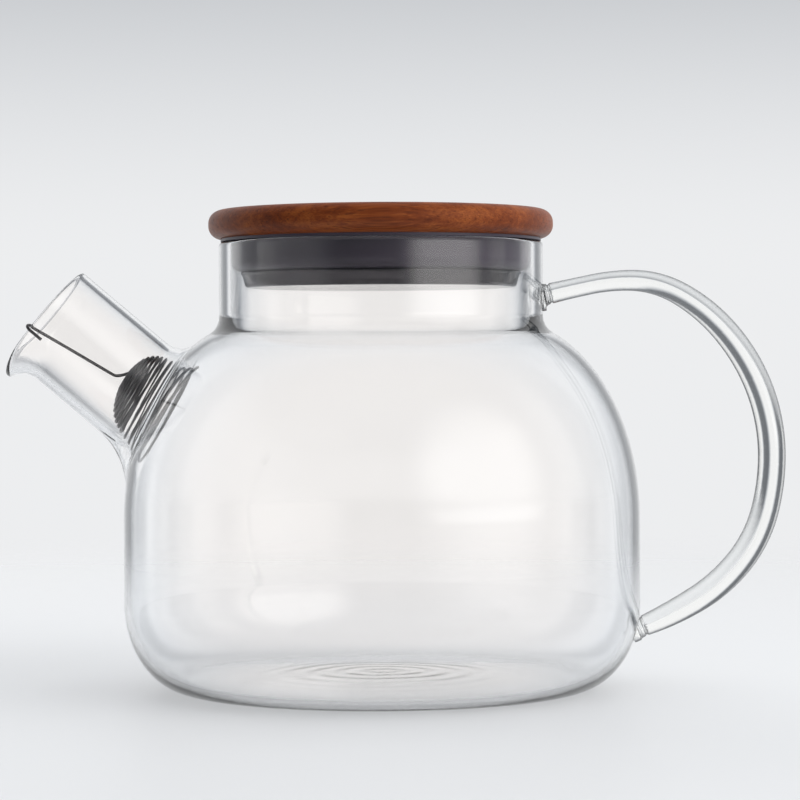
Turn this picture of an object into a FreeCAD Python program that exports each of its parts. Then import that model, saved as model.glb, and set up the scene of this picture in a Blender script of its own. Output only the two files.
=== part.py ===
import FreeCAD, Part
import math
import os

# Glass teapot of about one litre: a blown glass pot with a wooden plug lid and a wire strainer.
# Millimetres, +Z up. The pot's axis is Z and it stands on z = 0. The spout points to -X and the
# handle to +X.

# Pot: blown bowl and neck
BODY_RADIUS = 67.5
BODY_WALL = 1.7
SHOULDER_WIDTH = 35.6
SHOULDER_HEIGHT = 52.2
SHOULDER_START = 44.6
CORNER_WIDTH = 17.0
CORNER_HEIGHT = 23.2
BASE_THICKNESS = 2.2
PUNT_RADIUS = 36.0
PUNT_RISE = 1.0
NECK_INSET = 25.1
NECK_HEIGHT = 20.2
NECK_WALL = 2.9
NECK_ROOT_FILLET = 5.0
RIM_ROUNDING = 1.1

# Spout: a tube at a slant on a collar drawn out of the pot
SPOUT_SLOPE = 40.3
SPOUT_ROOT_SHARE = 0.592
SPOUT_REACH = 35.4
SPOUT_RADIUS = 14.5
SPOUT_WALL = 1.7
COLLAR_REACH = 11.0
COLLAR_FILLET_TOP = 6.0
COLLAR_FILLET_BOTTOM = 21.0
LIP_LENGTH = 8.5
LIP_BEND = 64.0
RIM_BEND = 0.6
LIP_HALF_ANGLE = 68.0
SPOUT_SECTIONS = 24

# Handle: a bent glass rod, thickest where the hand holds it. Reaches are from the neck or the bowl
GRIP_RADIUS = 3.65
ROD_END_RADIUS = 2.75
ROD_SHOULDER_RADIUS = 3.4
HANDLE_TOP_DROP = 13.6
HANDLE_CROWN_REACH = 22.8
HANDLE_CROWN_RISE = 3.3
HANDLE_SHOULDER_REACH = 21.3
HANDLE_SHOULDER_DROP = 11.8
HANDLE_REACH = 34.9
HANDLE_REACH_HEIGHT = 60.7
HANDLE_HEEL_REACH = 26.3
HANDLE_HEEL_HEIGHT = 32.8
HANDLE_FOOT_HEIGHT = 16.1
HANDLE_TOP_SLOPE = 13.0
HANDLE_SHOULDER_SLOPE = -47.0
HANDLE_HEEL_SLOPE = -129.0
HANDLE_FOOT_SLOPE = -158.0

# Welds: the gobs of glass that fuse the rod's ends to the pot
WELD_LENGTH = 2.2
WELD_RADIUS = 4.2
WELD_WAIST_DEPTH = 0.3
WELD_WAIST_LENGTH = 0.8
WELD_OVERRUN = 1.8

# Lid: wooden disc, steel liner cup, silicone gasket
DISC_OVERHANG = 2.7
DISC_THICKNESS = 7.5
DISC_EDGE_FLAT = 0.7
GASKET_WALL = 2.9
GASKET_FLANGE = 0.7
GASKET_FLANGE_INSET = 0.5
GASKET_DEPTH = 8.0
GASKET_SHOULDER = 3.0
GASKET_CLEARANCE = 0.3
LID_SEAT_GAP = 0.1
LINER_DRAFT = 0.6
LINER_SHEET = 0.6
LINER_DEPTH = 12.8
LINER_CORNER = 1.2
LINER_BEAD = 0.4
LINER_FIT = 0.05
GROOVE_DEPTH = 2.0
GROOVE_PLAY = 0.2
GLUE_THICKNESS = 0.3

# Strainer: one wire, wound as a dome that runs into a skirt, with a straight leg and a hook over the rim
WIRE = 0.8
WIRE_CLEARANCE = 0.3
STRAINER_TIP_REACH = 8.8
STRAINER_TILT = 9.0
COIL_START_RADIUS = 2.3
COIL_PLAY = 1.2
COIL_CROWN_TURN = 24.0
COIL_KNUCKLE_TURN = 51.0
COIL_KNUCKLE_RADIUS = 7.6
COIL_SIDE_LENGTH = 3.2
COIL_SKIRT_LENGTH = 6.5
COIL_SKIRT_TURN = 35.0
CLOSE_PITCH = 1.35
OPEN_PITCH = 2.1
LEG_SIDE_ANGLE = 19.0
LEG_STANDOFF = 3.0
HOOK_RETURN = 3.6


def vec(x, z):
    """A point in the plane of the spout and the handle."""
    return FreeCAD.Vector(x, 0, z)


def heading(degrees):
    """A unit direction in that plane, counted up from +X."""
    return vec(math.cos(math.radians(degrees)), math.sin(math.radians(degrees)))


UP = FreeCAD.Vector(0, 0, 1)
SIDE = FreeCAD.Vector(0, 1, 0)
ORIGIN = FreeCAD.Vector(0, 0, 0)
NEAR = 1e-3
EDGE_TOLERANCE = 0.01

NECK_RADIUS = BODY_RADIUS - NECK_INSET
NECK_BORE = NECK_RADIUS - NECK_WALL
GLASS_HEIGHT = SHOULDER_START + SHOULDER_HEIGHT + NECK_HEIGHT
SPOUT_ROOT_HEIGHT = SHOULDER_START + SHOULDER_HEIGHT * SPOUT_ROOT_SHARE
SPOUT_BORE = SPOUT_RADIUS - SPOUT_WALL
LID_BOTTOM = GLASS_HEIGHT + LID_SEAT_GAP + GASKET_FLANGE
LINER_RADIUS = NECK_BORE - GASKET_CLEARANCE - GASKET_WALL


def polyline(points):
    return [Part.LineSegment(a, b).toShape() for a, b in zip(points, points[1:])]


def revolve(edges):
    """The solid that a closed outline in the XZ plane sweeps about Z."""
    face = Part.Face(Part.Wire(Part.__sortEdges__(edges)))
    return face.revolve(ORIGIN, UP, 360)


def ellipse_quarter(centre, width, height):
    """From the widest point of an ellipse round to its top, or its bottom where height is negative."""
    across = centre + vec(width, 0)
    end = centre + vec(0, height)
    if abs(height) > width:
        curve = Part.Ellipse(end, across, centre)
    else:
        curve = Part.Ellipse(across, end, centre)
    first, last = sorted((curve.parameter(across), curve.parameter(end)))
    if last - first > math.pi:
        first, last = last, first + 2 * math.pi
    return Part.ArcOfEllipse(curve, first, last).toShape()


def tangent_arc(start, direction, end):
    """The arc from start to end that leaves start along direction."""
    chord = end - start
    across = chord - direction * chord.dot(direction)
    if across.Length < 1e-7:
        return Part.LineSegment(start, end)
    radius = chord.dot(chord) / (2 * across.Length)
    centre = start + across.normalize() * radius
    middle = (start + end) * 0.5 - centre
    return Part.Arc(start, centre + middle.normalize() * radius, end)


def biarc(start, start_direction, end, end_direction):
    """Two arcs that meet in a tangent, from one point and direction to another."""
    chord = end - start
    total = start_direction + end_direction
    slack = 2 * (1 - start_direction.dot(end_direction))
    along = chord.dot(total)
    if slack < 1e-9:
        reach = chord.dot(chord) / (2 * along)
    else:
        reach = (math.sqrt(along * along + slack * chord.dot(chord)) - along) / slack
    joint = (start + end + (start_direction - end_direction) * reach) * 0.5
    back = tangent_arc(end, end_direction * -1, joint)
    return [tangent_arc(start, start_direction, joint), reverse(back)]


def reverse(curve):
    """The same arc or line, run the other way."""
    start = curve.value(curve.LastParameter)
    end = curve.value(curve.FirstParameter)
    if isinstance(curve, Part.LineSegment):
        return Part.LineSegment(start, end)
    return Part.Arc(start, curve.value((curve.FirstParameter + curve.LastParameter) / 2), end)


def shoulder_radius(height):
    """The pot's outer radius at a height on its shoulder."""
    rise = (height - SHOULDER_START) / SHOULDER_HEIGHT
    return BODY_RADIUS - SHOULDER_WIDTH * (1 - math.sqrt(1 - rise * rise))


def corner_radius(height):
    """The pot's outer radius at a height on its bottom corner."""
    drop = max(0, (CORNER_HEIGHT - height) / CORNER_HEIGHT)
    return BODY_RADIUS - CORNER_WIDTH * (1 - math.sqrt(1 - drop * drop))


# Spout frame: the axis leaves the pot's wall at the root and points outwards to the mouth
SPOUT_OUT = heading(180 - SPOUT_SLOPE)
SPOUT_DOWN = heading(270 - SPOUT_SLOPE)
SPOUT_ROOT = vec(-shoulder_radius(SPOUT_ROOT_HEIGHT), SPOUT_ROOT_HEIGHT)
MOUTH = SPOUT_ROOT + SPOUT_OUT * SPOUT_REACH
STRAINER_TIP = SPOUT_ROOT + SPOUT_OUT * STRAINER_TIP_REACH


def round_the_spout(angle):
    """The direction square to the spout's axis at an angle from its underside."""
    return SPOUT_DOWN * math.cos(angle) + SIDE * math.sin(angle)


def spout_point(depth, radius, angle):
    """A point by its depth behind the mouth, its distance from the axis and its angle."""
    return MOUTH - SPOUT_OUT * depth + round_the_spout(angle) * radius


def bowl(wall, floor):
    """A solid of the bowl: the outer form where wall is zero, and the hollow where it isn't."""
    side = BODY_RADIUS - wall
    foot = BODY_RADIUS - CORNER_WIDTH
    top = SHOULDER_START + SHOULDER_HEIGHT - wall
    punt = floor + PUNT_RISE
    corner = vec(foot, CORNER_HEIGHT)
    shoulder = vec(BODY_RADIUS - SHOULDER_WIDTH, SHOULDER_START)
    edges = polyline([vec(shoulder.x, top), vec(0, top), vec(0, punt)])
    edges.append(tangent_arc(vec(0, punt), vec(1, 0), vec(PUNT_RADIUS, floor)).toShape())
    edges += polyline([vec(PUNT_RADIUS, floor), vec(foot, floor)])
    edges.append(ellipse_quarter(corner, CORNER_WIDTH - wall, floor - CORNER_HEIGHT))
    edges += polyline([vec(side, CORNER_HEIGHT), vec(side, SHOULDER_START)])
    edges.append(ellipse_quarter(shoulder, SHOULDER_WIDTH - wall, SHOULDER_HEIGHT - wall))
    return revolve(edges)


def neck_root_edges(solid, radius):
    """The circle where the neck meets the shoulder."""
    found = []
    for edge in solid.Edges:
        box = edge.BoundBox
        level = box.ZLength < NEAR
        below_rim = SHOULDER_START < box.ZMax < GLASS_HEIGHT - NEAR
        if level and below_rim and abs(box.XMax - radius) < NEAR:
            found.append(edge)
    return found


def collar_edges(solid, radius):
    """The curved edge where the collar's tube comes out of the bowl."""
    found = []
    for edge in [edge for edge in solid.Edges if not edge.Degenerated]:
        points = edge.discretize(9)
        depths = [(point - SPOUT_ROOT).dot(SPOUT_OUT) for point in points]
        radii = [point.distanceToLine(SPOUT_ROOT, SPOUT_OUT) for point in points]
        on_tube = max(abs(found_radius - radius) for found_radius in radii) < EDGE_TOLERANCE
        level = max(depths) - min(depths) < EDGE_TOLERANCE
        straight = isinstance(edge.Curve, Part.Line)
        if on_tube and not (level or straight):
            found.append(edge)
    return found


def pot_form(wall, floor, neck_radius, tube_radius, fillet_extra):
    """The bowl, neck and collar in one form with its fillets: the outside, or the hollow within."""
    form = bowl(wall, floor)
    neck_foot = vec(0, SHOULDER_START)
    form = form.fuse(Part.makeCylinder(neck_radius, GLASS_HEIGHT - SHOULDER_START, neck_foot, UP))
    form = form.makeFillet(NECK_ROOT_FILLET + fillet_extra, neck_root_edges(form, neck_radius))
    buried = SPOUT_RADIUS * 2
    tube_foot = SPOUT_ROOT - SPOUT_OUT * buried
    tube = Part.makeCylinder(tube_radius, buried + COLLAR_REACH, tube_foot, SPOUT_OUT)
    form = form.fuse(tube)
    size = 4 * BODY_RADIUS
    half_space = Part.makeBox(size, size, size, FreeCAD.Vector(-size / 2, 0, -size / 2))
    half = form.common(half_space)
    small = COLLAR_FILLET_TOP + fillet_extra
    large = COLLAR_FILLET_BOTTOM + fillet_extra
    edges = collar_edges(half, tube_radius)
    start, end = [edges[0].valueAt(parameter) for parameter in edges[0].ParameterRange]
    radii = (large, small) if start.z < end.z else (small, large)
    half = half.makeFillet(*radii, edges)
    return half.fuse(half.mirror(ORIGIN, SIDE)).removeSplitter()


def rim_trim(radius, rounding):
    """The ring that is melted off one edge of the rim: rounding is negative on the outer edge."""
    low = vec(radius, GLASS_HEIGHT - abs(rounding))
    high = vec(radius + rounding, GLASS_HEIGHT)
    arc = tangent_arc(low, UP, high)
    return revolve([arc.toShape()] + polyline([high, vec(radius, GLASS_HEIGHT), low]))


def make_body():
    outside = pot_form(0, 0, NECK_RADIUS, SPOUT_RADIUS, 0)
    hollow = pot_form(BODY_WALL, BASE_THICKNESS, NECK_BORE, SPOUT_BORE, BODY_WALL)
    glass = outside.cut(hollow)
    glass = glass.cut([rim_trim(NECK_RADIUS, -RIM_ROUNDING), rim_trim(NECK_BORE, RIM_ROUNDING)])
    return glass, outside


def lip_bend(angle):
    """How far the spout's wall is bent outwards at its rim: most at the lip, and hardly at all elsewhere."""
    share = min(1, abs(angle) / math.radians(LIP_HALF_ANGLE))
    swell = 0.5 + 0.5 * math.cos(math.pi * share)
    return math.radians(RIM_BEND + (LIP_BEND - RIM_BEND) * swell)


def on_rim(angle, turn, offset):
    """A point on the bent end of the wall, by how far it has turned and how far out it is in the glass."""
    curve = LIP_LENGTH / lip_bend(angle)
    depth = SPOUT_WALL / 2 + LIP_LENGTH - (curve - offset) * math.sin(turn)
    radius = SPOUT_RADIUS - SPOUT_WALL / 2 + curve - (curve - offset) * math.cos(turn)
    return spout_point(depth, radius, angle)


def wall_section(angle):
    """The spout's wall cut through its axis: straight from the collar, bent at the end, with a round edge."""
    bend = lip_bend(angle)
    half = SPOUT_WALL / 2
    root = SPOUT_REACH - COLLAR_REACH
    outer_root = spout_point(root, SPOUT_RADIUS, angle)
    inner_root = spout_point(root, SPOUT_BORE, angle)
    outer_start, outer_end = on_rim(angle, 0, half), on_rim(angle, bend, half)
    inner_start, inner_end = on_rim(angle, 0, -half), on_rim(angle, bend, -half)
    forward = SPOUT_OUT * math.cos(bend) + round_the_spout(angle) * math.sin(bend)
    edge_middle = on_rim(angle, bend, 0) + forward * half
    curves = [
        Part.LineSegment(outer_root, outer_start),
        Part.Arc(outer_start, on_rim(angle, bend / 2, half), outer_end),
        Part.Arc(outer_end, edge_middle, inner_end),
        Part.Arc(inner_end, on_rim(angle, bend / 2, -half), inner_start),
        Part.LineSegment(inner_start, inner_root),
        Part.LineSegment(inner_root, outer_root),
    ]
    return Part.Wire([curve.toShape() for curve in curves])


def make_spout():
    angles = [math.pi * (2 * k / SPOUT_SECTIONS - 1) for k in range(SPOUT_SECTIONS)]
    return Part.makeLoft([wall_section(angle) for angle in angles], True, False, True)


def handle_curves():
    """The rod's centre line, from the neck over the crown and round to the foot."""
    top = GLASS_HEIGHT - HANDLE_TOP_DROP
    crown = top + HANDLE_CROWN_RISE
    shoulder = crown - HANDLE_SHOULDER_DROP
    foot = vec(corner_radius(HANDLE_FOOT_HEIGHT) + WELD_LENGTH, HANDLE_FOOT_HEIGHT)
    stations = [
        (vec(NECK_RADIUS + WELD_LENGTH, top), heading(HANDLE_TOP_SLOPE)),
        (vec(NECK_RADIUS + HANDLE_CROWN_REACH, crown), heading(0)),
        (vec(BODY_RADIUS + HANDLE_SHOULDER_REACH, shoulder), heading(HANDLE_SHOULDER_SLOPE)),
        (vec(BODY_RADIUS + HANDLE_REACH, HANDLE_REACH_HEIGHT), heading(-90)),
        (vec(BODY_RADIUS + HANDLE_HEEL_REACH, HANDLE_HEEL_HEIGHT), heading(HANDLE_HEEL_SLOPE)),
        (foot, heading(HANDLE_FOOT_SLOPE)),
    ]
    curves = []
    for (start, leave), (end, arrive) in zip(stations, stations[1:]):
        curves += biarc(start, leave, end, arrive)
    return stations, curves


def circle_wire(radius, centre, direction):
    return Part.Wire(Part.Circle(centre, direction, radius).toShape())


def make_handle(stations, curves):
    path = Part.Wire([curve.toShape() for curve in curves])
    sweep = Part.BRepOffsetAPI.MakePipeShell(path)
    grip = [ROD_SHOULDER_RADIUS, GRIP_RADIUS, GRIP_RADIUS]
    radii = [ROD_END_RADIUS, ROD_END_RADIUS] + grip + [ROD_END_RADIUS]
    for radius, (centre, direction) in zip(radii, stations):
        sweep.add(circle_wire(radius, centre, direction))
    sweep.build()
    sweep.makeSolid()
    return sweep.shape()


def make_weld(end, inwards, outside):
    """A gob from the rod's end to the wall: a waist beside the rod, then a flared foot on the glass."""
    across = SIDE
    foot = WELD_LENGTH + WELD_OVERRUN

    def at(depth, radius):
        return end + inwards * depth + across * radius

    waist_start = at(0, ROD_END_RADIUS)
    waist_middle = at(WELD_WAIST_LENGTH / 2, ROD_END_RADIUS - WELD_WAIST_DEPTH)
    waist_end = at(WELD_WAIST_LENGTH, ROD_END_RADIUS)
    flare_end = at(WELD_LENGTH, WELD_RADIUS)
    waist = Part.Arc(waist_start, waist_middle, waist_end)
    flare = tangent_arc(waist_end, inwards, flare_end)
    closing = polyline([flare_end, at(foot, WELD_RADIUS), at(foot, 0), end, waist_start])
    outline = Part.Wire([waist.toShape(), flare.toShape()] + closing)
    return Part.Face(outline).revolve(end, inwards, 360).cut(outside)


def groove_ring(foot, height):
    """A ring as wide as the groove that takes the liner's rim."""
    outer = Part.makeCylinder(LINER_RADIUS + GROOVE_PLAY, height, foot, UP)
    inner = Part.makeCylinder(LINER_RADIUS - LINER_SHEET - GROOVE_PLAY, height, foot, UP)
    return outer.cut(inner)


def make_disc():
    """The turned disc, with the groove in its underside that takes the liner's rim."""
    foot = vec(0, LID_BOTTOM)
    disc = Part.makeCylinder(NECK_RADIUS + DISC_OVERHANG, DISC_THICKNESS, foot, UP)
    rims = [edge for edge in disc.Edges if isinstance(edge.Curve, Part.Circle)]
    disc = disc.makeFillet((DISC_THICKNESS - DISC_EDGE_FLAT) / 2, rims)
    return disc.cut(groove_ring(foot, GROOVE_DEPTH))


def make_glue():
    """The ring of adhesive at the bottom of the groove, under the liner's rim."""
    return groove_ring(vec(0, LID_BOTTOM + GROOVE_DEPTH - GLUE_THICKNESS), GLUE_THICKNESS)


def liner_side(offset):
    """One face of the cup's sheet, from its rim down to the middle of its floor."""
    rim = LID_BOTTOM + GROOVE_DEPTH - GLUE_THICKNESS
    gasket_foot = GLASS_HEIGHT + LID_SEAT_GAP - GASKET_DEPTH
    floor = LID_BOTTOM - LINER_DEPTH
    radius = LINER_RADIUS - offset
    low = radius - LINER_DRAFT
    corner = LINER_CORNER - offset
    bead_top = gasket_foot - LINER_FIT
    bead_foot = bead_top - 2 * LINER_BEAD
    inner_floor = floor + offset
    bead_crest = vec(radius + LINER_BEAD, (bead_top + bead_foot) / 2)
    bead = Part.Arc(vec(radius, bead_top), bead_crest, vec(radius, bead_foot))
    turn = tangent_arc(vec(low - corner, inner_floor), vec(1, 0), vec(low, inner_floor + corner))
    edges = polyline([vec(radius, rim), vec(radius, bead_top)])
    edges.append(bead.toShape())
    edges += polyline([vec(radius, bead_foot), vec(low, inner_floor + corner)])
    edges.append(turn.toShape())
    edges += polyline([vec(low - corner, inner_floor), vec(0, inner_floor)])
    return edges, vec(radius, rim), vec(0, inner_floor)


def make_liner():
    outer, outer_rim, outer_floor = liner_side(0)
    inner, inner_rim, inner_floor = liner_side(LINER_SHEET)
    closing = polyline([outer_rim, inner_rim]) + polyline([outer_floor, inner_floor])
    return revolve(outer + inner + closing)


def make_gasket():
    """The seal: a plug ring with a rounded lower edge, and a thin flange on the glass rim."""
    inner = LINER_RADIUS + LINER_FIT
    plug = NECK_BORE - GASKET_CLEARANCE
    flange = NECK_RADIUS - GASKET_FLANGE_INSET
    seat = GLASS_HEIGHT + LID_SEAT_GAP
    foot = seat - GASKET_DEPTH
    shoulder = vec(plug, foot + GASKET_SHOULDER)
    toe = vec(inner + LINER_FIT, foot)
    top = [vec(inner, LID_BOTTOM), vec(flange, LID_BOTTOM), vec(flange, seat)]
    edges = polyline(top + [vec(plug, seat), shoulder])
    edges.append(tangent_arc(shoulder, vec(0, -1), toe).toShape())
    edges += polyline([toe, vec(inner, foot), vec(inner, LID_BOTTOM)])
    return revolve(edges)


def coil_outline():
    """The winding's outline from its tip to its base, as runs: length, and turn towards the spout's axis."""
    crown_turn = math.radians(COIL_CROWN_TURN)
    knuckle_turn = math.radians(COIL_KNUCKLE_TURN)
    side = crown_turn + knuckle_turn
    knuckle_width = COIL_KNUCKLE_RADIUS * (math.sin(side) - math.sin(crown_turn))
    crown_radius = (SPOUT_BORE - WIRE / 2 - COIL_PLAY - knuckle_width) / math.sin(crown_turn)
    return [
        (crown_radius * crown_turn, crown_turn),
        (COIL_KNUCKLE_RADIUS * knuckle_turn, knuckle_turn),
        (COIL_SIDE_LENGTH, 0),
        (COIL_SKIRT_LENGTH, -math.radians(COIL_SKIRT_TURN)),
    ]


def coil_radius_and_depth(length):
    """The winding's radius, and its depth behind the tip, at a length along its outline."""
    radius = depth = way = 0
    for run, turn in coil_outline():
        part = min(length, run)
        half_turn = turn / 2 * part / run
        chord = part * math.sin(half_turn) / half_turn if half_turn else part
        radius += chord * math.cos(way + half_turn)
        depth += chord * math.sin(way + half_turn)
        way += turn
        length -= part
    return radius, depth


def coil_close_length():
    """The length of outline that is wound close: the crown and the knuckle round it."""
    return sum(run for run, turn in coil_outline()[:2])


def coil_point(turns):
    """A point on the wire's centre line, counted in turns from the coil's inner end."""
    close_turns = (coil_close_length() - COIL_START_RADIUS) / CLOSE_PITCH
    close = min(turns, close_turns) * CLOSE_PITCH
    open_wound = max(0, turns - close_turns) * OPEN_PITCH
    radius, depth = coil_radius_and_depth(COIL_START_RADIUS + close + open_wound)
    angle = 2 * math.pi * turns + math.pi
    lean = math.radians(STRAINER_TILT)
    steep = SPOUT_DOWN * math.cos(lean) - SPOUT_OUT * math.sin(lean)
    round_the_coil = steep * math.cos(angle) - SIDE * math.sin(angle)
    return STRAINER_TIP - SPOUT_OUT * depth + round_the_coil * radius


def coil_direction(turns):
    step = 1e-4
    return (coil_point(turns + step) - coil_point(turns - step)).normalize()


def coil_turns():
    """How many turns the winding has, in whole quarters."""
    close = coil_close_length() - COIL_START_RADIUS
    open_wound = COIL_SIDE_LENGTH + COIL_SKIRT_LENGTH
    return math.floor(4 * (close / CLOSE_PITCH + open_wound / OPEN_PITCH)) / 4


def strainer_curves():
    """The wire's centre line: hook, leg, and the coil from its inner end out to its base."""
    angle = math.radians(LEG_SIDE_ANGLE - 90)
    outwards = round_the_spout(angle)
    hook_radius = SPOUT_WALL / 2 + WIRE_CLEARANCE + WIRE / 2
    hook_centre = on_rim(angle, lip_bend(angle), 0)
    foot = STRAINER_TIP + SPOUT_OUT * LEG_STANDOFF + outwards * COIL_START_RADIUS
    span = foot - hook_centre
    reach = span.Length
    lean = math.atan2(-span.dot(outwards), -span.dot(SPOUT_OUT)) - math.asin(hook_radius / reach)
    leg_way = SPOUT_OUT * -math.cos(lean) - outwards * math.sin(lean)
    square = outwards * -math.cos(lean) + SPOUT_OUT * math.sin(lean)
    leg_start = hook_centre + square * hook_radius
    return_start = hook_centre + outwards * hook_radius
    crown = (square + outwards + SPOUT_OUT).normalize() * hook_radius + hook_centre
    curves = [
        Part.LineSegment(return_start - SPOUT_OUT * HOOK_RETURN, return_start),
        Part.Arc(return_start, crown, leg_start),
        Part.LineSegment(leg_start, foot),
    ]
    curves += biarc(foot, leg_way, coil_point(0), coil_direction(0))
    quarters = round(4 * coil_turns())
    for k in range(quarters):
        here, there = k / 4, (k + 1) / 4
        curves += biarc(coil_point(here), coil_direction(here), coil_point(there), coil_direction(there))
    last = coil_point(quarters / 4)
    curves.append(Part.LineSegment(last, last + coil_direction(quarters / 4) * WIRE))
    return curves


def make_strainer(curves):
    path = Part.Wire([curve.toShape() for curve in curves])
    sweep = Part.BRepOffsetAPI.MakePipeShell(path)
    start = curves[0].value(curves[0].FirstParameter)
    sweep.add(circle_wire(WIRE / 2, start, SPOUT_OUT))
    sweep.build()
    sweep.makeSolid()
    return sweep.shape()


def least_wire_gap(curves):
    """The least gap between stretches of the wire that lie more than a short run apart along it."""
    points = []
    run = 0
    step = 0.3
    for curve in curves:
        length = curve.length()
        count = max(1, round(length / step))
        span = curve.LastParameter - curve.FirstParameter
        for k in range(count):
            points.append((run + length * k / count, curve.value(curve.FirstParameter + span * k / count)))
        run += length
    short_run = 6 * WIRE
    least = min(
        (a - b).Length
        for i, (here, a) in enumerate(points)
        for there, b in points[i + 1:]
        if there - here > short_run
    )
    return least - WIRE


def bend_radii(curves):
    """The radius of each arc in a centre line."""
    bends = [curve.curvature(curve.FirstParameter) for curve in curves]
    return [1 / bend for bend in bends if bend > 1e-6]


def build():
    body, outside = make_body()
    stations, rod = handle_curves()
    wire = strainer_curves()
    print("handle bend radii:", [round(radius, 1) for radius in bend_radii(rod)])
    print("strainer turns:", coil_turns())
    print("strainer least gap to itself: %.2f mm" % least_wire_gap(wire))
    print("strainer least bend radius: %.2f mm" % min(bend_radii(wire)))
    top_end, top_way = stations[0]
    foot_end, foot_way = stations[-1]
    return {
        "glass_body": body,
        "glass_spout": make_spout(),
        "glass_handle": make_handle(stations, rod),
        "handle_top_weld": make_weld(top_end, top_way * -1, outside),
        "handle_foot_weld": make_weld(foot_end, foot_way, outside),
        "spout_strainer": make_strainer(wire),
        "lid_disc": make_disc(),
        "lid_glue_ring": make_glue(),
        "lid_liner": make_liner(),
        "lid_gasket": make_gasket(),
    }


os.makedirs("parts", exist_ok=True)
for name, shape in build().items():
    shape.exportStep("parts/%s.step" % name)
    print(name, "solids", len(shape.Solids), "valid", shape.isValid(), "volume %.1f" % shape.Volume)
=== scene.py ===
import math

import bmesh
import bpy
from mathutils import Matrix, Vector
from mathutils.geometry import intersect_point_line
from mathutils.kdtree import KDTree


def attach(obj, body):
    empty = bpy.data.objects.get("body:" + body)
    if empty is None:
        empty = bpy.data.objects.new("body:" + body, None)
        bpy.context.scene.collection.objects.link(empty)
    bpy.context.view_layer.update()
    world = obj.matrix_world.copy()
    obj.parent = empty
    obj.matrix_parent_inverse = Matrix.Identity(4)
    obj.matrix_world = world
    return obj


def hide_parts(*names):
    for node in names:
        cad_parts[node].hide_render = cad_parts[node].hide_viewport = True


# Glass teapot with a wooden plug lid: the looks of each piece, the studio and the camera. Metres, +Z up.

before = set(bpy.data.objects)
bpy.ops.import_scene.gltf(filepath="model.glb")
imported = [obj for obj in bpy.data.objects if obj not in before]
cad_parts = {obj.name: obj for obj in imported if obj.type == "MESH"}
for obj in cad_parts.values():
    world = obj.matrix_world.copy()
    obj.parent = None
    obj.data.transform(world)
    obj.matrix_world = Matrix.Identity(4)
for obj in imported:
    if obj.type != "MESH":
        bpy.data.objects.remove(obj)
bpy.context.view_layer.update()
MM = 0.001
SIDE = Vector((0, 1, 0))

# Pot: sizes repeated from the part
BODY_RADIUS = 67.5 * MM
BODY_WALL = 1.7 * MM
SHOULDER_WIDTH = 35.6 * MM
SHOULDER_HEIGHT = 52.2 * MM
SHOULDER_START = 44.6 * MM
CORNER_WIDTH = 17.0 * MM
CORNER_HEIGHT = 23.2 * MM
BASE_THICKNESS = 2.2 * MM
NECK_RADIUS = 42.4 * MM
NECK_BORE = 39.5 * MM
NECK_FILLET = 5.0 * MM
GLASS_HEIGHT = 117.0 * MM
RIM_ROUNDING = 1.1 * MM

# Spout: sizes and directions repeated from the part
SPOUT_SLOPE = math.radians(40.3)
SPOUT_OUT = Vector((-math.cos(SPOUT_SLOPE), 0, math.sin(SPOUT_SLOPE)))
SPOUT_DOWN = Vector((-math.sin(SPOUT_SLOPE), 0, -math.cos(SPOUT_SLOPE)))
MOUTH = Vector((-87.591, 0, 98.396)) * MM
SPOUT_REACH = 35.4 * MM
COLLAR_REACH = 11.0 * MM
SPOUT_RADIUS = 14.5 * MM
SPOUT_BORE = 12.8 * MM
SPOUT_WALL = 1.7 * MM
LIP_DEPTH = 9.4 * MM

# Handle: sizes repeated from the part, and what its welds keep and lose
ROD_END_RADIUS = 2.75 * MM
ROD_TOP_SLOPE = math.radians(13)
ROD_FOOT_SLOPE = math.radians(-158)
TOP_END = Vector((44.6, 0, 103.4)) * MM
FOOT_HEIGHT = 16.1 * MM
FOOT_STANDOFF = 2.2 * MM
FLARE_KEPT = 0.35
WELD_SINK = 0.25 * MM

# Strainer: sizes repeated from the part
WIRE = 0.8 * MM
WIRE_CLEARANCE = 0.3 * MM
STRAINER_TIP = MOUTH - SPOUT_OUT * (SPOUT_REACH - 8.8 * MM)
STRAINER_TILT = math.radians(9)
COIL_START = 2.3 * MM
COIL_PLAY = 1.2 * MM
COIL_TURNS = 13.0
CLOSE_PITCH = 1.35 * MM
OPEN_PITCH = 2.1 * MM
CROWN_TURN = math.radians(24)
KNUCKLE_TURN = math.radians(51)
KNUCKLE = 7.6 * MM
COIL_SIDE = 3.2 * MM
SKIRT = 6.5 * MM
SKIRT_TURN = math.radians(-35)
LEG_ANGLE = math.radians(19 - 90)
LEG_STANDOFF = 3.0 * MM
LEG_BEND = 1.6 * MM
HOOK_RETURN = 3.6 * MM
HOOK_OFFSET = 0.05 * MM

# How close points are when they count as on a surface, in one place or on one rim
ON_SURFACE = 0.01 * MM
OUTLINE_STEP = 0.03 * MM
NO_STEP = 1e-9
SAME_PLACE = 0.002 * MM
KEYS_PER_MM = 1000
RIM_GAP = 0.05 * MM
SEAM_DEPTH = 0.02 * MM
SQUARE_ON = 0.999
NEARLY_ALIKE = 0.9

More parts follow.
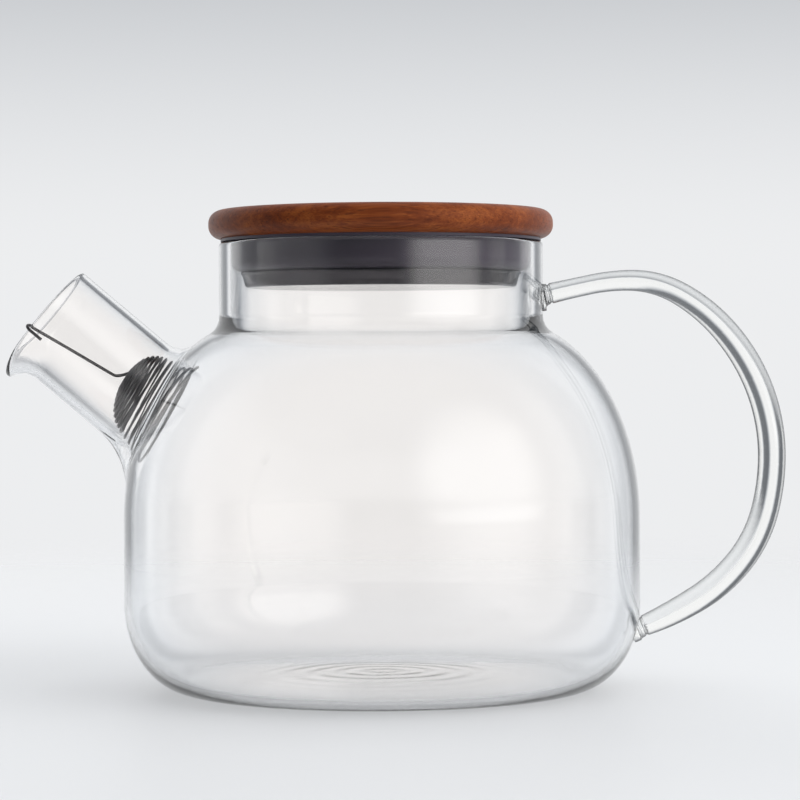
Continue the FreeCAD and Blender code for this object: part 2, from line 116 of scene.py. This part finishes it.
# Finishes
GLASS_IOR = 1.47
GLASS_SHADE = (0.992, 0.993, 0.994)
POT_TINT = (0.989, 0.976, 0.966)
# The edge colours are painted shade where the glass is seen edge on: the pot's is cool and faint and partly
# its real tint, the handle's is dark.
POT_EDGE_SHADE = (0.91, 0.94, 0.97)
HANDLE_TINT = (0.975, 0.98, 0.97)
HANDLE_EDGE_SHADE = (0.10, 0.105, 0.11)
BASE_RING_RATE = 900
BASE_RING_DRIFT = 9
WOOD_TONES = [(0.32, (0.075, 0.013, 0.002)), (0.48, (0.18, 0.036, 0.006)), (0.66, (0.34, 0.092, 0.018))]
PORE_BROWN = (0.045, 0.010, 0.003)
DARK_SILICONE = (0.040, 0.030, 0.047)
PALE_SILICONE = (0.060, 0.047, 0.069)
WIRE_STEEL = (0.13, 0.125, 0.125)
LINER_STEEL = (0.08, 0.074, 0.079)
DARK_ADHESIVE = (0.62, 0.58, 0.48)
PALE_ADHESIVE = (0.75, 0.72, 0.62)

# Studio: floor, lamps (place, width and height, watts) and camera
FLOOR_RADIUS = 1.4
FLOOR_DROP = 0.2 * MM
FLOOR_FADE = (0.10, 0.7)
FLOOR_COLOUR = (0.83, 0.835, 0.84)
LAMP_AIM = Vector((0, 0, 0.06))
LAMPS = {
    "key": ((1.15, -0.62, 0.8), (1.5, 1.3), 16),
    "fill": ((-0.7, 0.8, 0.6), (0.8, 0.8), 5),
    "top": ((0, 0.2, 1.3), (1.2, 1.0), 4),
}
SENSOR = 36
LENS = 130.4
NEAREST_VIEW = 0.01
CAMERA_PLACE = Vector((0, -0.760, 0.086))
CAMERA_AIM = Vector((0.00485, 0, 0.0756))
CAMERA_ROLL = math.radians(-0.27)

# Surround: levels of light in the bays behind, the nook in front, the room that is mirrored and its window
BAY_COUNT = 8
STRIP_LEVEL = 0.16
BAY_RISE = 0.70
BAY_GAIN = 1.12
BELOW_LOSS = 0.8
UPPER_BACKDROP = 0.32
ROOF_LEVEL = 0.35
NOOK_LEVEL = 0.06
NOOK_LEFT = 0.6
NOOK_WINDOW = 1.3
ROOM_LEVEL = 0.22
ROOM_RISE = 0.62
ROOM_ROOF_LOSS = 0.4
PANE_LEVEL = 0.9
WINDOW_LEVEL = 0.9
LOW_WINDOW_LEVEL = 1.6
WINDOW_WAY = (0.69, -0.64, 0.34)
LOW_WINDOW_WAY = (0.72, -0.66, 0.20)
PLAIN_LEVEL = 0.46
PLAIN_TILT = 0.44
COOL = (0.88, 0.95, 1.05)
WHITE = (1.0, 1.0, 1.0)


class Value:
    """A socket of a node tree. Numbers take part in sums."""

    def __init__(self, finish, socket):
        self.finish = finish
        self.socket = socket

    def math(self, operation, other=0, swapped=False):
        first, second = (other, self) if swapped else (self, other)
        return self.finish.node("ShaderNodeMath", {"operation": operation}, {0: first, 1: second})

    def __add__(self, other):
        return self.math("ADD", other)

    def __radd__(self, other):
        return self.math("ADD", other, True)

    def __sub__(self, other):
        return self.math("SUBTRACT", other)

    def __rsub__(self, other):
        return self.math("SUBTRACT", other, True)

    def __mul__(self, other):
        return self.math("MULTIPLY", other)

    def __rmul__(self, other):
        return self.math("MULTIPLY", other, True)

    def __neg__(self):
        return self.math("MULTIPLY", -1)


class Finish:
    """The node tree of a material or of the world, built up node by node."""

    def __init__(self, owner):
        owner.use_nodes = True
        self.owner = owner
        self.tree = owner.node_tree
        self.tree.nodes.clear()

    def node(self, kind, settings=None, inputs=None, output=0):
        """Adds a node, with its settings first and then its sockets' values or links."""
        made = self.tree.nodes.new(kind)
        for name, value in (settings or {}).items():
            if name == "stops":
                ramp = made.color_ramp
                while len(ramp.elements) < len(value):
                    ramp.elements.new(0.5)
                for element, (place, colour) in zip(ramp.elements, value):
                    element.position = place
                    element.color = (*colour, 1)
            else:
                setattr(made, name, value)
        for name, value in (inputs or {}).items():
            socket = made.inputs[name]
            if isinstance(value, Value):
                self.tree.links.new(value.socket, socket)
            else:
                socket.default_value = value
        return Value(self, made.outputs[output])

    def mix(self, factor, a, b):
        """Between two colours. The node has its colour sockets at places 6 and 7, and at 2 of its outputs."""
        sockets = {0: factor, 6: a, 7: b}
        for key in (6, 7):
            if isinstance(sockets[key], tuple):
                sockets[key] = (*sockets[key], 1)
        return self.node("ShaderNodeMix", {"data_type": "RGBA"}, sockets, 2)

    def ramp(self, factor, low, high):
        """0 below low, 1 above high, and smooth between."""
        settings = {"interpolation_type": "SMOOTHSTEP"}
        return self.node("ShaderNodeMapRange", settings, {0: factor, 1: low, 2: high})

    def place(self, stretch=(1, 1, 1)):
        """Object coordinates, stretched along each axis."""
        own = self.node("ShaderNodeTexCoord", output="Object")
        return self.node("ShaderNodeMapping", None, {"Vector": own, "Scale": stretch})

    def distance(self, axes=(1, 1, 1)):
        """The distance from the origin, along some of the axes."""
        return self.node("ShaderNodeVectorMath", {"operation": "LENGTH"}, {0: self.place(axes)}, "Value")

    def noise(self, place, scale, detail=3, rough=0.5):
        inputs = {"Vector": place, "Scale": scale, "Detail": detail, "Roughness": rough}
        return self.node("ShaderNodeTexNoise", None, inputs)

    def bump(self, height, strength, distance):
        inputs = {"Strength": strength, "Distance": distance, "Height": height}
        return self.node("ShaderNodeBump", None, inputs)

    def principled(self, **inputs):
        named = {name.replace("_", " "): value for name, value in inputs.items()}
        return self.node("ShaderNodeBsdfPrincipled", None, named)

    def mix_shaders(self, factor, first, second):
        return self.node("ShaderNodeMixShader", None, {0: factor, 1: first, 2: second})

    def surface(self, shader, output="ShaderNodeOutputMaterial"):
        out = self.tree.nodes.new(output)
        self.tree.links.new(shader.socket, out.inputs["Surface"])
        return self.owner


def new_finish(name):
    return Finish(bpy.data.materials.new(name))


def clear_glass(name, tint, edge, waviness, ripple):
    """Blown glass: clear, slowly uneven, and faintly ringed in a pot's base. Where it is seen edge on, its
    colour turns cooler and darker: partly the tint of a longer path through the glass, partly painted shade.

    The unevenness and the rings are heights in millimetres.
    """
    finish = new_finish(name)
    wave = finish.noise(finish.place(), scale=28, detail=1.5, rough=0.4)
    reach = finish.distance((1, 1, 0))
    height = finish.distance((0, 0, 1))
    low_down = 1 - finish.ramp(height, low=3.5 * MM, high=6 * MM)
    in_middle = 1 - finish.ramp(reach, low=18 * MM, high=40 * MM)
    rings = (reach * BASE_RING_RATE + wave * BASE_RING_DRIFT).math("SINE") * (low_down * in_middle)
    facing = finish.node("ShaderNodeLayerWeight", None, {"Blend": 0.5}, "Facing")
    # Painted shade: the colour turns to the edge colour where the glass is seen edge on, partly the tint of a
    # longer path through it.
    colour = finish.mix(finish.ramp(facing, low=0.15, high=0.75), tint, edge)
    normal = finish.bump(wave * waviness + rings * ripple, strength=1, distance=MM)
    glass = finish.principled(
        Base_Color=colour, Roughness=0.0, IOR=GLASS_IOR, Transmission_Weight=1.0, Normal=normal)
    shade = finish.node("ShaderNodeBsdfTransparent", None, {"Color": (*GLASS_SHADE, 1)})
    shadow = finish.node("ShaderNodeLightPath", output="Is Shadow Ray")
    return finish.surface(finish.mix_shaders(shadow, glass, shade))


def oiled_wood():
    """Reddish-brown hardwood with its grain along X: long bands, fine fibres and thin pores, under oil."""
    finish = new_finish("oiled_wood")
    drift = finish.noise(finish.place((5, 45, 45)), scale=3.0, detail=4, rough=0.55)
    bands = finish.noise(finish.place((7, 190, 190)), scale=4.0, detail=3, rough=0.6)
    fibres = finish.noise(finish.place((16, 1100, 1100)), scale=3.0, detail=2, rough=0.6)
    pores = finish.noise(finish.place((34, 1700, 1700)), scale=1.6, detail=1, rough=0.4)
    pore = finish.ramp(pores, low=0.60, high=0.72)
    tone = drift * 0.35 + bands * 0.35 + fibres * 0.3
    colour = finish.node("ShaderNodeValToRGB", {"stops": WOOD_TONES}, {0: tone})
    colour = finish.mix(pore * 0.5, colour, PORE_BROWN)
    rough = 0.34 + fibres * 0.14 + pore * 0.2
    normal = finish.bump(fibres * 0.5 - pore * 0.6, strength=0.3, distance=0.2 * MM)
    return finish.surface(finish.principled(
        Base_Color=colour, Roughness=rough, Specular_IOR_Level=0.22, Normal=normal))


def matt_silicone():
    """Purple-grey silicone with a fine moulded grain and a trace of dust."""
    finish = new_finish("matt_silicone")
    grain = finish.noise(finish.place(), scale=1800, detail=2, rough=0.6)
    cloud = finish.noise(finish.place(), scale=60)
    colour = finish.mix(cloud, DARK_SILICONE, PALE_SILICONE)
    rough = 0.36 + cloud * 0.1
    normal = finish.bump(grain, strength=0.015, distance=0.1 * MM)
    return finish.surface(finish.principled(Base_Color=colour, Roughness=rough, Normal=normal))


def spun_steel(name, colour, roughness, lines):
    """Stainless steel with faint stains, and fine lines round the axis from spinning or drawing."""
    finish = new_finish(name)
    line = finish.noise(finish.place((1, 1, lines)), scale=24)
    stain = finish.noise(finish.place(), scale=45)
    dark = tuple(c * 0.7 for c in colour)
    pale = tuple(c * 1.25 for c in colour)
    tone = finish.mix(line * 0.5 + stain * 0.3, dark, pale)
    rough = roughness + line * 0.12
    normal = finish.bump(line, strength=0.03, distance=0.1 * MM)
    return finish.surface(finish.principled(Base_Color=tone, Metallic=1.0, Roughness=rough, Normal=normal))


def cured_adhesive():
    """Cloudy cream adhesive."""
    finish = new_finish("cured_adhesive")
    cloud = finish.noise(finish.place(), scale=300)
    colour = finish.mix(cloud, DARK_ADHESIVE, PALE_ADHESIVE)
    return finish.surface(finish.principled(Base_Color=colour, Roughness=0.5 + cloud * 0.2))


def add_piece(name, mesh, body, finish, slot, *nodes):
    """Puts a new piece in the scene: it rides on a body and stands for CAD nodes."""
    piece = bpy.data.objects.new(name, mesh)
    bpy.context.scene.collection.objects.link(piece)
    mesh.materials.clear()
    mesh.materials.append(finish)
    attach(piece, body)
    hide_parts(*nodes)


def ellipse_run(centre, width, height, start, end):
    """Points along an ellipse in the plane of the radius and the height, between two angles."""
    steps = 600
    points = []
    for k in range(steps + 1):
        angle = start + (end - start) * k / steps
        points.append(Vector((centre[0] + width * math.cos(angle), 0, centre[1] + height * math.sin(angle))))
    return points


def neck_root(neck, fillet, width, height):
    """The fillet between shoulder and neck.

    Gives the shoulder's angle where the fillet starts, its centre and its own angle there. The start is
    found by halving, and the fillet's circle then touches both.
    """
    low, high = 0, math.pi / 2
    halvings = 50
    for k in range(halvings):
        angle = (low + high) / 2
        normal = Vector((math.cos(angle) / width, math.sin(angle) / height)).normalized()
        reach = BODY_RADIUS - SHOULDER_WIDTH + width * math.cos(angle) + normal.x * fillet
        low, high = (angle, high) if reach > neck + fillet else (low, angle)
    centre = (neck + fillet, SHOULDER_START + height * math.sin(angle) + normal.y * fillet)
    return angle, centre, math.pi + math.atan2(normal.y, normal.x)


def wall_outline():
    """The pot's wall cut through its axis: up the outside from the base, over the rim and down the inside."""
    corner = (BODY_RADIUS - CORNER_WIDTH, CORNER_HEIGHT)
    shoulder = (BODY_RADIUS - SHOULDER_WIDTH, SHOULDER_START)
    rim = GLASS_HEIGHT - RIM_ROUNDING
    inner_width, inner_height = SHOULDER_WIDTH - BODY_WALL, SHOULDER_HEIGHT - BODY_WALL
    inner_fillet = NECK_FILLET + BODY_WALL
    quarter = math.pi / 2
    outer_angle, outer_centre, outer_turn = neck_root(
        NECK_RADIUS, NECK_FILLET, SHOULDER_WIDTH, SHOULDER_HEIGHT)
    inner_angle, inner_centre, inner_turn = neck_root(
        NECK_BORE, inner_fillet, inner_width, inner_height)
    points = ellipse_run(corner, CORNER_WIDTH, CORNER_HEIGHT, -quarter, 0)
    points += ellipse_run(shoulder, SHOULDER_WIDTH, SHOULDER_HEIGHT, 0, outer_angle)
    points += ellipse_run(outer_centre, NECK_FILLET, NECK_FILLET, outer_turn, math.pi)
    points += ellipse_run((NECK_RADIUS - RIM_ROUNDING, rim), RIM_ROUNDING, RIM_ROUNDING, 0, quarter)
    points += ellipse_run((NECK_BORE + RIM_ROUNDING, rim), RIM_ROUNDING, RIM_ROUNDING, quarter, math.pi)
    points += ellipse_run(inner_centre, inner_fillet, inner_fillet, math.pi, inner_turn)
    points += ellipse_run(shoulder, inner_width, inner_height, inner_angle, 0)
    points += ellipse_run(corner, CORNER_WIDTH - BODY_WALL, CORNER_HEIGHT - BASE_THICKNESS, 0, -quarter)
    return points


def outline_normals():
    """A search tree of places on the wall's outline, and the outward direction at each."""
    places = []
    outline = wall_outline()
    for a, b in zip(outline, outline[1:]):
        step = b - a
        if step.length > NO_STEP:
            count = math.ceil(step.length / OUTLINE_STEP)
            out = Vector((step.z, 0, -step.x)).normalized()
            places += [(a.lerp(b, (k + 0.5) / count), out) for k in range(count)]
    tree = KDTree(len(places))
    for k, (place, out) in enumerate(places):
        tree.insert(place, k)
    tree.balance()
    return tree, [out for place, out in places]


WALL_TREE, WALL_NORMALS = outline_normals()


def pot_normal(point):
    """The true direction of the pot's surface at a point on its turned wall or on its spout's tube."""
    around = point - MOUTH
    along = around.dot(SPOUT_OUT)
    around -= SPOUT_OUT * along
    if -SPOUT_REACH < along < -LIP_DEPTH:
        if abs(around.length - SPOUT_RADIUS) < ON_SURFACE:
            return around.normalized()
        if abs(around.length - SPOUT_BORE) < ON_SURFACE:
            return -around.normalized()
    radius = math.hypot(point.x, point.y)
    here = Vector((radius, 0, point.z))
    place, index, distance = WALL_TREE.find(here)
    out = WALL_NORMALS[index]
    if distance > OUTLINE_STEP or abs((here - place).dot(out)) > ON_SURFACE or radius < ON_SURFACE:
        return None
    return Vector((point.x / radius * out.x, point.y / radius * out.x, out.z))


def corner_radius(height):
    """The pot's outer radius at a height on its bottom corner."""
    drop = 1 - height / CORNER_HEIGHT
    return BODY_RADIUS - CORNER_WIDTH * (1 - math.sqrt(1 - drop * drop))


TOP_WAY = Vector((math.cos(ROD_TOP_SLOPE), 0, math.sin(ROD_TOP_SLOPE)))
FOOT_WAY = Vector((math.cos(ROD_FOOT_SLOPE), 0, math.sin(ROD_FOOT_SLOPE)))
FOOT_END = Vector((corner_radius(FOOT_HEIGHT) + FOOT_STANDOFF, 0, FOOT_HEIGHT))


def in_pot(point):
    """Whether a point near one of the handle's ends lies on the pot's outer wall, or in it."""
    wall = corner_radius(point.z) if point.z < CORNER_HEIGHT else NECK_RADIUS
    return math.hypot(point.x, point.y) - wall < RIM_GAP


def weld_shape(point):
    """A weld's point, with the lower weld's flare drawn in, and what lies on the pot moved into its wall."""
    away = point - FOOT_END
    along = away.dot(FOOT_WAY)
    across = away - FOOT_WAY * along
    if along > RIM_GAP and across.length > ROD_END_RADIUS:
        drawn_in = ROD_END_RADIUS + (across.length - ROD_END_RADIUS) * FLARE_KEPT
        point = FOOT_END + FOOT_WAY * along + across.normalized() * drawn_in
    if not in_pot(point):
        return point
    inwards = 1 - WELD_SINK / math.hypot(point.x, point.y)
    return Vector((point.x * inwards, point.y * inwards, point.z))


def unchanged(point):
    return point


def place_key(point):
    """A point to the nearest thousandth of a millimetre."""
    return tuple(round(c / MM * KEYS_PER_MM) for c in point)


def in_seam(seams, centre, normal):
    """Whether a face lies where two pieces are fused.

    A seam is a point, a direction and the radii of its rings, the largest first.
    """
    for point, direction, radii in seams:
        away = centre - point
        level = abs(away.dot(direction)) < SEAM_DEPTH
        if level and abs(normal.dot(direction)) > SQUARE_ON and away.length < radii[0]:
            return True
    return False


def close_ring(model, centre, radius):
    """Gives the two open rims that meet on one ring the same points, so that they can be merged."""
    rims = []
    for edge in model.edges:
        off_ring = max(abs((vert.co - centre).length - radius) for vert in edge.verts)
        if edge.is_boundary and off_ring < RIM_GAP:
            rims.append(edge)
    places = [vert.co.copy() for vert in {vert for edge in rims for vert in edge.verts}]
    for place in places:
        for edge in list(rims):
            start, end = edge.verts
            foot, share = intersect_point_line(place, start.co, end.co)
            from_ends = min((place - start.co).length, (place - end.co).length)
            if 0 < share < 1 and (place - foot).length < RIM_GAP and from_ends > SAME_PLACE:
                new_edge, vert = bmesh.utils.edge_split(edge, start, share)
                vert.co = place
                rims.append(new_edge)


def joined_nodes(nodes, seams, shape):
    """CAD nodes joined into one closed wall, without the faces in their seams.

    Also gives the directions of the CAD's surface, by place.
    """
    model = bmesh.new()
    known = {}
    for node in nodes:
        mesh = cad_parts[node].data
        start = len(model.verts)
        model.from_mesh(mesh)
        bmesh.ops.remove_doubles(model, verts=list(model.verts)[start:], dist=SAME_PLACE)
        for face in mesh.polygons:
            if shape(face.center) != face.center or in_seam(seams, face.center, face.normal):
                continue
            for corner in face.loop_indices:
                key = place_key(shape(mesh.vertices[mesh.loops[corner].vertex_index].co))
                known[key] = known.get(key, Vector()) + mesh.corner_normals[corner].vector * face.area
    inner = [face for face in model.faces if in_seam(seams, face.calc_center_median(), face.normal)]
    bmesh.ops.delete(model, geom=inner, context="FACES")
    for point, direction, radii in seams:
        for radius in radii:
            close_ring(model, point, radius)
    bmesh.ops.remove_doubles(model, verts=model.verts, dist=SAME_PLACE)
    for face in model.faces:
        face.smooth = True
    for vert in model.verts:
        vert.co = shape(vert.co)
    return model, known


def fused_glass(name, nodes, seams, true_normal=None, shape=unchanged, hidden=None):
    """One glass wall made of several CAD nodes, with its surface's directions set at every corner.

    They are the true ones where those are known, and else the CAD's, and else the mesh's own. The shape moves
    points a little. Hidden faces lie in another wall and stay flat.
    """
    model, known = joined_nodes(nodes, seams, shape)
    mesh = bpy.data.meshes.new(name)
    model.to_mesh(mesh)
    model.free()

    own = [Vector() for vert in mesh.vertices]
    inside = [bool(hidden and hidden(face.center)) for face in mesh.polygons]
    for face, within in zip(mesh.polygons, inside):
        for index in face.vertices:
            own[index] += face.normal * (0 if within else face.area)
    directions = []
    for vert, normal in zip(mesh.vertices, own):
        normal = normal.normalized() if normal.length else vert.normal.copy()
        exact = true_normal(vert.co) if true_normal else None
        if exact is None or exact.dot(normal) < NEARLY_ALIKE:
            exact = known.get(place_key(vert.co), normal)
        directions.append(exact.normalized())
    corners = []
    for face, within in zip(mesh.polygons, inside):
        corners += [face.normal if within else directions[index] for index in face.vertices]
    mesh.normals_split_custom_set(corners)
    return mesh


def coil_runs():
    """The winding's outline from its tip to its base, as lengths and turns."""
    width = KNUCKLE * (math.sin(CROWN_TURN + KNUCKLE_TURN) - math.sin(CROWN_TURN))
    crown = (SPOUT_BORE - WIRE / 2 - COIL_PLAY - width) / math.sin(CROWN_TURN)
    return [
        (crown * CROWN_TURN, CROWN_TURN),
        (KNUCKLE * KNUCKLE_TURN, KNUCKLE_TURN),
        (COIL_SIDE, 0),
        (SKIRT, SKIRT_TURN),
    ]


def coil_point(turns):
    """A point on the wire, counted in turns from the coil's inner end."""
    close_length = sum(run for run, turn in coil_runs()[:2])
    close_turns = (close_length - COIL_START) / CLOSE_PITCH
    length = COIL_START + min(turns, close_turns) * CLOSE_PITCH + max(0, turns - close_turns) * OPEN_PITCH
    radius = depth = way = 0
    for run, turn in coil_runs():
        part = min(length, run)
        half = turn / 2 * part / run
        chord = part * math.sin(half) / half if half else part
        radius += chord * math.cos(way + half)
        depth += chord * math.sin(way + half)
        way += turn
        length -= part
    angle = 2 * math.pi * turns + math.pi
    steep = SPOUT_DOWN * math.cos(STRAINER_TILT) - SPOUT_OUT * math.sin(STRAINER_TILT)
    return STRAINER_TIP - SPOUT_OUT * depth + (steep * math.cos(angle) - SIDE * math.sin(angle)) * radius


def cubic(start, start_hold, end_hold, end, share):
    """A point on a Bezier curve."""
    rest = 1 - share
    held = start_hold * 3 * rest * rest * share + end_hold * 3 * rest * share * share
    return start * rest**3 + held + end * share**3


def strainer_path():
    """Hook, leg and coil, as points along the wire."""
    return_steps = 4
    hook_steps = 12
    leg_steps = 8
    bend_steps = 8
    coil_steps = 28
    nudge = 0.01
    outwards = SPOUT_DOWN * math.cos(LEG_ANGLE) + SIDE * math.sin(LEG_ANGLE)
    bend = SPOUT_WALL / 2 + WIRE_CLEARANCE + WIRE / 2
    centre = MOUTH - SPOUT_OUT * SPOUT_WALL / 2 + outwards * (SPOUT_BORE + SPOUT_WALL / 2 + HOOK_OFFSET)
    foot = STRAINER_TIP + SPOUT_OUT * LEG_STANDOFF + outwards * COIL_START
    points = []
    for k in range(return_steps):
        points.append(centre + outwards * bend - SPOUT_OUT * HOOK_RETURN * (1 - k / return_steps))
    for k in range(hook_steps + 1):
        turn = math.pi * k / hook_steps
        points.append(centre + outwards * bend * math.cos(turn) + SPOUT_OUT * bend * math.sin(turn))
    start = points[-1]
    points += [start.lerp(foot, k / leg_steps) for k in range(1, leg_steps + 1)]
    inner = coil_point(0)
    ahead = (coil_point(nudge) - inner).normalized() * LEG_BEND
    leg = (foot - start).normalized() * LEG_BEND
    points += [cubic(foot, foot + leg, inner - ahead, inner, k / bend_steps) for k in range(1, bend_steps)]
    points += [coil_point(k / coil_steps) for k in range(round(COIL_TURNS * coil_steps) + 1)]
    return points


def wire_mesh(name, points, radius):
    """A round wire along points, with closed ends."""
    curve = bpy.data.curves.new(name, "CURVE")
    curve.dimensions = "3D"
    curve.bevel_depth = radius
    curve.bevel_resolution = 4
    curve.use_fill_caps = True
    spline = curve.splines.new("NURBS")
    spline.points.add(len(points) - 1)
    for control, point in zip(spline.points, points):
        control.co = (*point, 1)
    spline.order_u = 3
    spline.use_endpoint_u = True
    spline.resolution_u = 2
    holder = bpy.data.objects.new(name, curve)
    mesh = bpy.data.meshes.new_from_object(holder)
    bpy.data.objects.remove(holder)
    mesh.name = name
    model = bmesh.new()
    model.from_mesh(mesh)
    bmesh.ops.remove_doubles(model, verts=model.verts, dist=SAME_PLACE)
    bmesh.ops.recalc_face_normals(model, faces=model.faces)
    for face in model.faces:
        face.smooth = len(face.verts) == 4
    model.to_mesh(mesh)
    model.free()
    return mesh


def add_pot():
    """The glass of body and spout, in one wall."""
    finish = clear_glass("pot_glass", POT_TINT, POT_EDGE_SHADE, waviness=0.016, ripple=0.012)
    nodes = ["glass_body", "glass_spout"]
    butt = MOUTH - SPOUT_OUT * (SPOUT_REACH - COLLAR_REACH)
    seams = [(butt, SPOUT_OUT, (SPOUT_RADIUS, SPOUT_BORE))]
    mesh = fused_glass("pot_glass", nodes, seams, pot_normal)
    add_piece("pot_glass", mesh, "pot", finish, "glass", *nodes)


def add_handle():
    """The handle's rod and its two welds, in one piece of glass."""
    finish = clear_glass("handle_glass", HANDLE_TINT, HANDLE_EDGE_SHADE, waviness=0.03, ripple=0)
    nodes = ["glass_handle", "handle_top_weld", "handle_foot_weld"]
    seams = [(TOP_END, TOP_WAY, (ROD_END_RADIUS,)), (FOOT_END, FOOT_WAY, (ROD_END_RADIUS,))]
    mesh = fused_glass("handle_glass", nodes, seams, None, weld_shape, in_pot)
    add_piece("handle_glass", mesh, "pot", finish, "glass_handle", *nodes)


def add_strainer():
    """The strainer's wire."""
    finish = spun_steel("strainer_wire", WIRE_STEEL, roughness=0.28, lines=1)
    mesh = wire_mesh("strainer_coil", strainer_path(), WIRE / 2)
    add_piece("strainer_coil", mesh, "strainer", finish, "strainer_wire", "spout_strainer")


def dress_lid():
    """New finishes on the lid's own pieces."""
    finishes = {
        "lid_disc": oiled_wood(),
        "lid_gasket": matt_silicone(),
        "lid_liner": spun_steel("liner_steel", LINER_STEEL, roughness=0.08, lines=60),
        "lid_glue_ring": cured_adhesive(),
    }
    for node, finish in finishes.items():
        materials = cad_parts[node].data.materials
        materials.clear()
        materials.append(finish)


def pale_floor():
    """A pale floor that fades out with distance."""
    finish = new_finish("pale_floor")
    fade = finish.ramp(finish.distance(), *FLOOR_FADE)
    floor = finish.principled(Base_Color=(*FLOOR_COLOUR, 1), Roughness=0.5, Specular_IOR_Level=0.2)
    clear = finish.node("ShaderNodeBsdfTransparent")
    return finish.surface(finish.mix_shaders(fade, floor, clear))


def add_floor():
    model = bmesh.new()
    bmesh.ops.create_circle(model, cap_ends=True, segments=64, radius=FLOOR_RADIUS)
    mesh = bpy.data.meshes.new("floor")
    model.to_mesh(mesh)
    model.free()
    mesh.materials.append(pale_floor())
    floor = bpy.data.objects.new("floor", mesh)
    floor.location.z = -FLOOR_DROP
    bpy.context.scene.collection.objects.link(floor)


def add_surround():
    """Pale bays between greyer strips all round, and in front a dim room with a soft window to the right.

    Each kind of ray meets its own levels of light. The camera's meet the backdrop. Those through the glass
    meet the bays behind and the nook in front. Those mirrored in the glass meet the room. The rest meet a
    plain light that is stronger from the right.
    """
    world = bpy.data.worlds.new("surround")
    bpy.context.scene.world = world
    finish = Finish(world)
    way = finish.node("ShaderNodeTexCoord", output="Generated")
    split = finish.node("ShaderNodeSeparateXYZ", None, {0: way})
    x, y, z = [Value(finish, out) for out in split.socket.node.outputs]
    to_window = x * WINDOW_WAY[0] + y * WINDOW_WAY[1] + z * WINDOW_WAY[2]
    to_low_window = x * LOW_WINDOW_WAY[0] + y * LOW_WINDOW_WAY[1] + z * LOW_WINDOW_WAY[2]
    high = finish.ramp(z, low=0.03, high=0.24)
    roof = finish.ramp(z, low=0.45, high=0.85)
    below = finish.ramp(-z, low=0.12, high=0.22)
    in_front = finish.ramp(-y, low=-0.05, high=0.25)
    behind = finish.ramp(y, low=-0.6, high=0.6)
    near_level = finish.ramp(z, low=-0.02, high=0.02) * (1 - finish.ramp(z, low=0.05, high=0.12))

    lobes = (x.math("ARCTAN2", y) * BAY_COUNT).math("COSINE") * 0.5 + 0.5
    bays = STRIP_LEVEL + finish.ramp(lobes, low=0.12, high=0.72) * BAY_RISE
    backdrop = bays * (1 - high) + high * UPPER_BACKDROP

    nook = NOOK_LEVEL + finish.ramp(-x, low=0.50, high=0.85) * NOOK_LEFT
    nook = nook + finish.ramp(to_low_window, low=0.78, high=0.96) * NOOK_WINDOW
    walls = bays * (BAY_GAIN - below * BELOW_LOSS) * (1 - in_front) + nook * in_front
    pane = finish.ramp(to_window, low=0.85, high=0.97) * finish.ramp(z, low=0.06, high=0.16)
    through = walls * (1 - roof) + roof * ROOF_LEVEL + pane * PANE_LEVEL

    room = (ROOM_LEVEL + behind * ROOM_RISE) * (1 - roof * ROOM_ROOF_LOSS)
    window = finish.ramp(to_window, low=0.80, high=0.97) * WINDOW_LEVEL
    low_window = finish.ramp(to_low_window, low=0.84, high=0.95) * near_level * LOW_WINDOW_LEVEL
    mirrored = room + (window + low_window)

    path = finish.node("ShaderNodeLightPath")
    rays = {out.name: Value(finish, out) for out in path.socket.node.outputs}
    sharp = 1 - rays["Diffuse Depth"].math("MINIMUM", 1)
    camera = rays["Is Camera Ray"]
    clear = rays["Is Transmission Ray"] * sharp
    mirror = rays["Is Glossy Ray"] * (1 - rays["Is Transmission Ray"]) * sharp
    plain = 1 - camera - clear - mirror
    level = camera * backdrop + clear * through + mirror * mirrored + plain * (PLAIN_LEVEL + x * PLAIN_TILT)
    tint = finish.mix(level, COOL, WHITE)
    light = finish.node("ShaderNodeBackground", None, {"Color": tint, "Strength": level})
    finish.surface(light, "ShaderNodeOutputWorld")


def add_lamp(name, place, size, watts):
    """A soft lamp that the glass doesn't show."""
    lamp = bpy.data.lights.new(name, "AREA")
    lamp.shape = "RECTANGLE"
    lamp.size, lamp.size_y = size
    lamp.energy = watts
    holder = bpy.data.objects.new(name, lamp)
    holder.location = place
    holder.rotation_euler = (LAMP_AIM - Vector(place)).to_track_quat("-Z", "Y").to_euler()
    holder.visible_glossy = False
    holder.visible_transmission = False
    bpy.context.scene.collection.objects.link(holder)


def add_camera():
    camera = bpy.data.cameras.new("camera")
    camera.sensor_width = SENSOR
    camera.lens = LENS
    camera.clip_start = NEAREST_VIEW
    holder = bpy.data.objects.new("camera", camera)
    turn = (CAMERA_AIM - CAMERA_PLACE).to_track_quat("-Z", "Y").to_matrix().to_4x4()
    holder.matrix_world = Matrix.Translation(CAMERA_PLACE) @ turn @ Matrix.Rotation(CAMERA_ROLL, 4, "Z")
    bpy.context.scene.collection.objects.link(holder)
    bpy.context.scene.camera = holder


add_pot()
add_handle()
add_strainer()
dress_lid()
add_floor()
add_surround()
for lamp, (place, size, watts) in LAMPS.items():
    add_lamp(lamp, place, size, watts)
add_camera()
bpy.context.scene.view_settings.view_transform = "Standard"
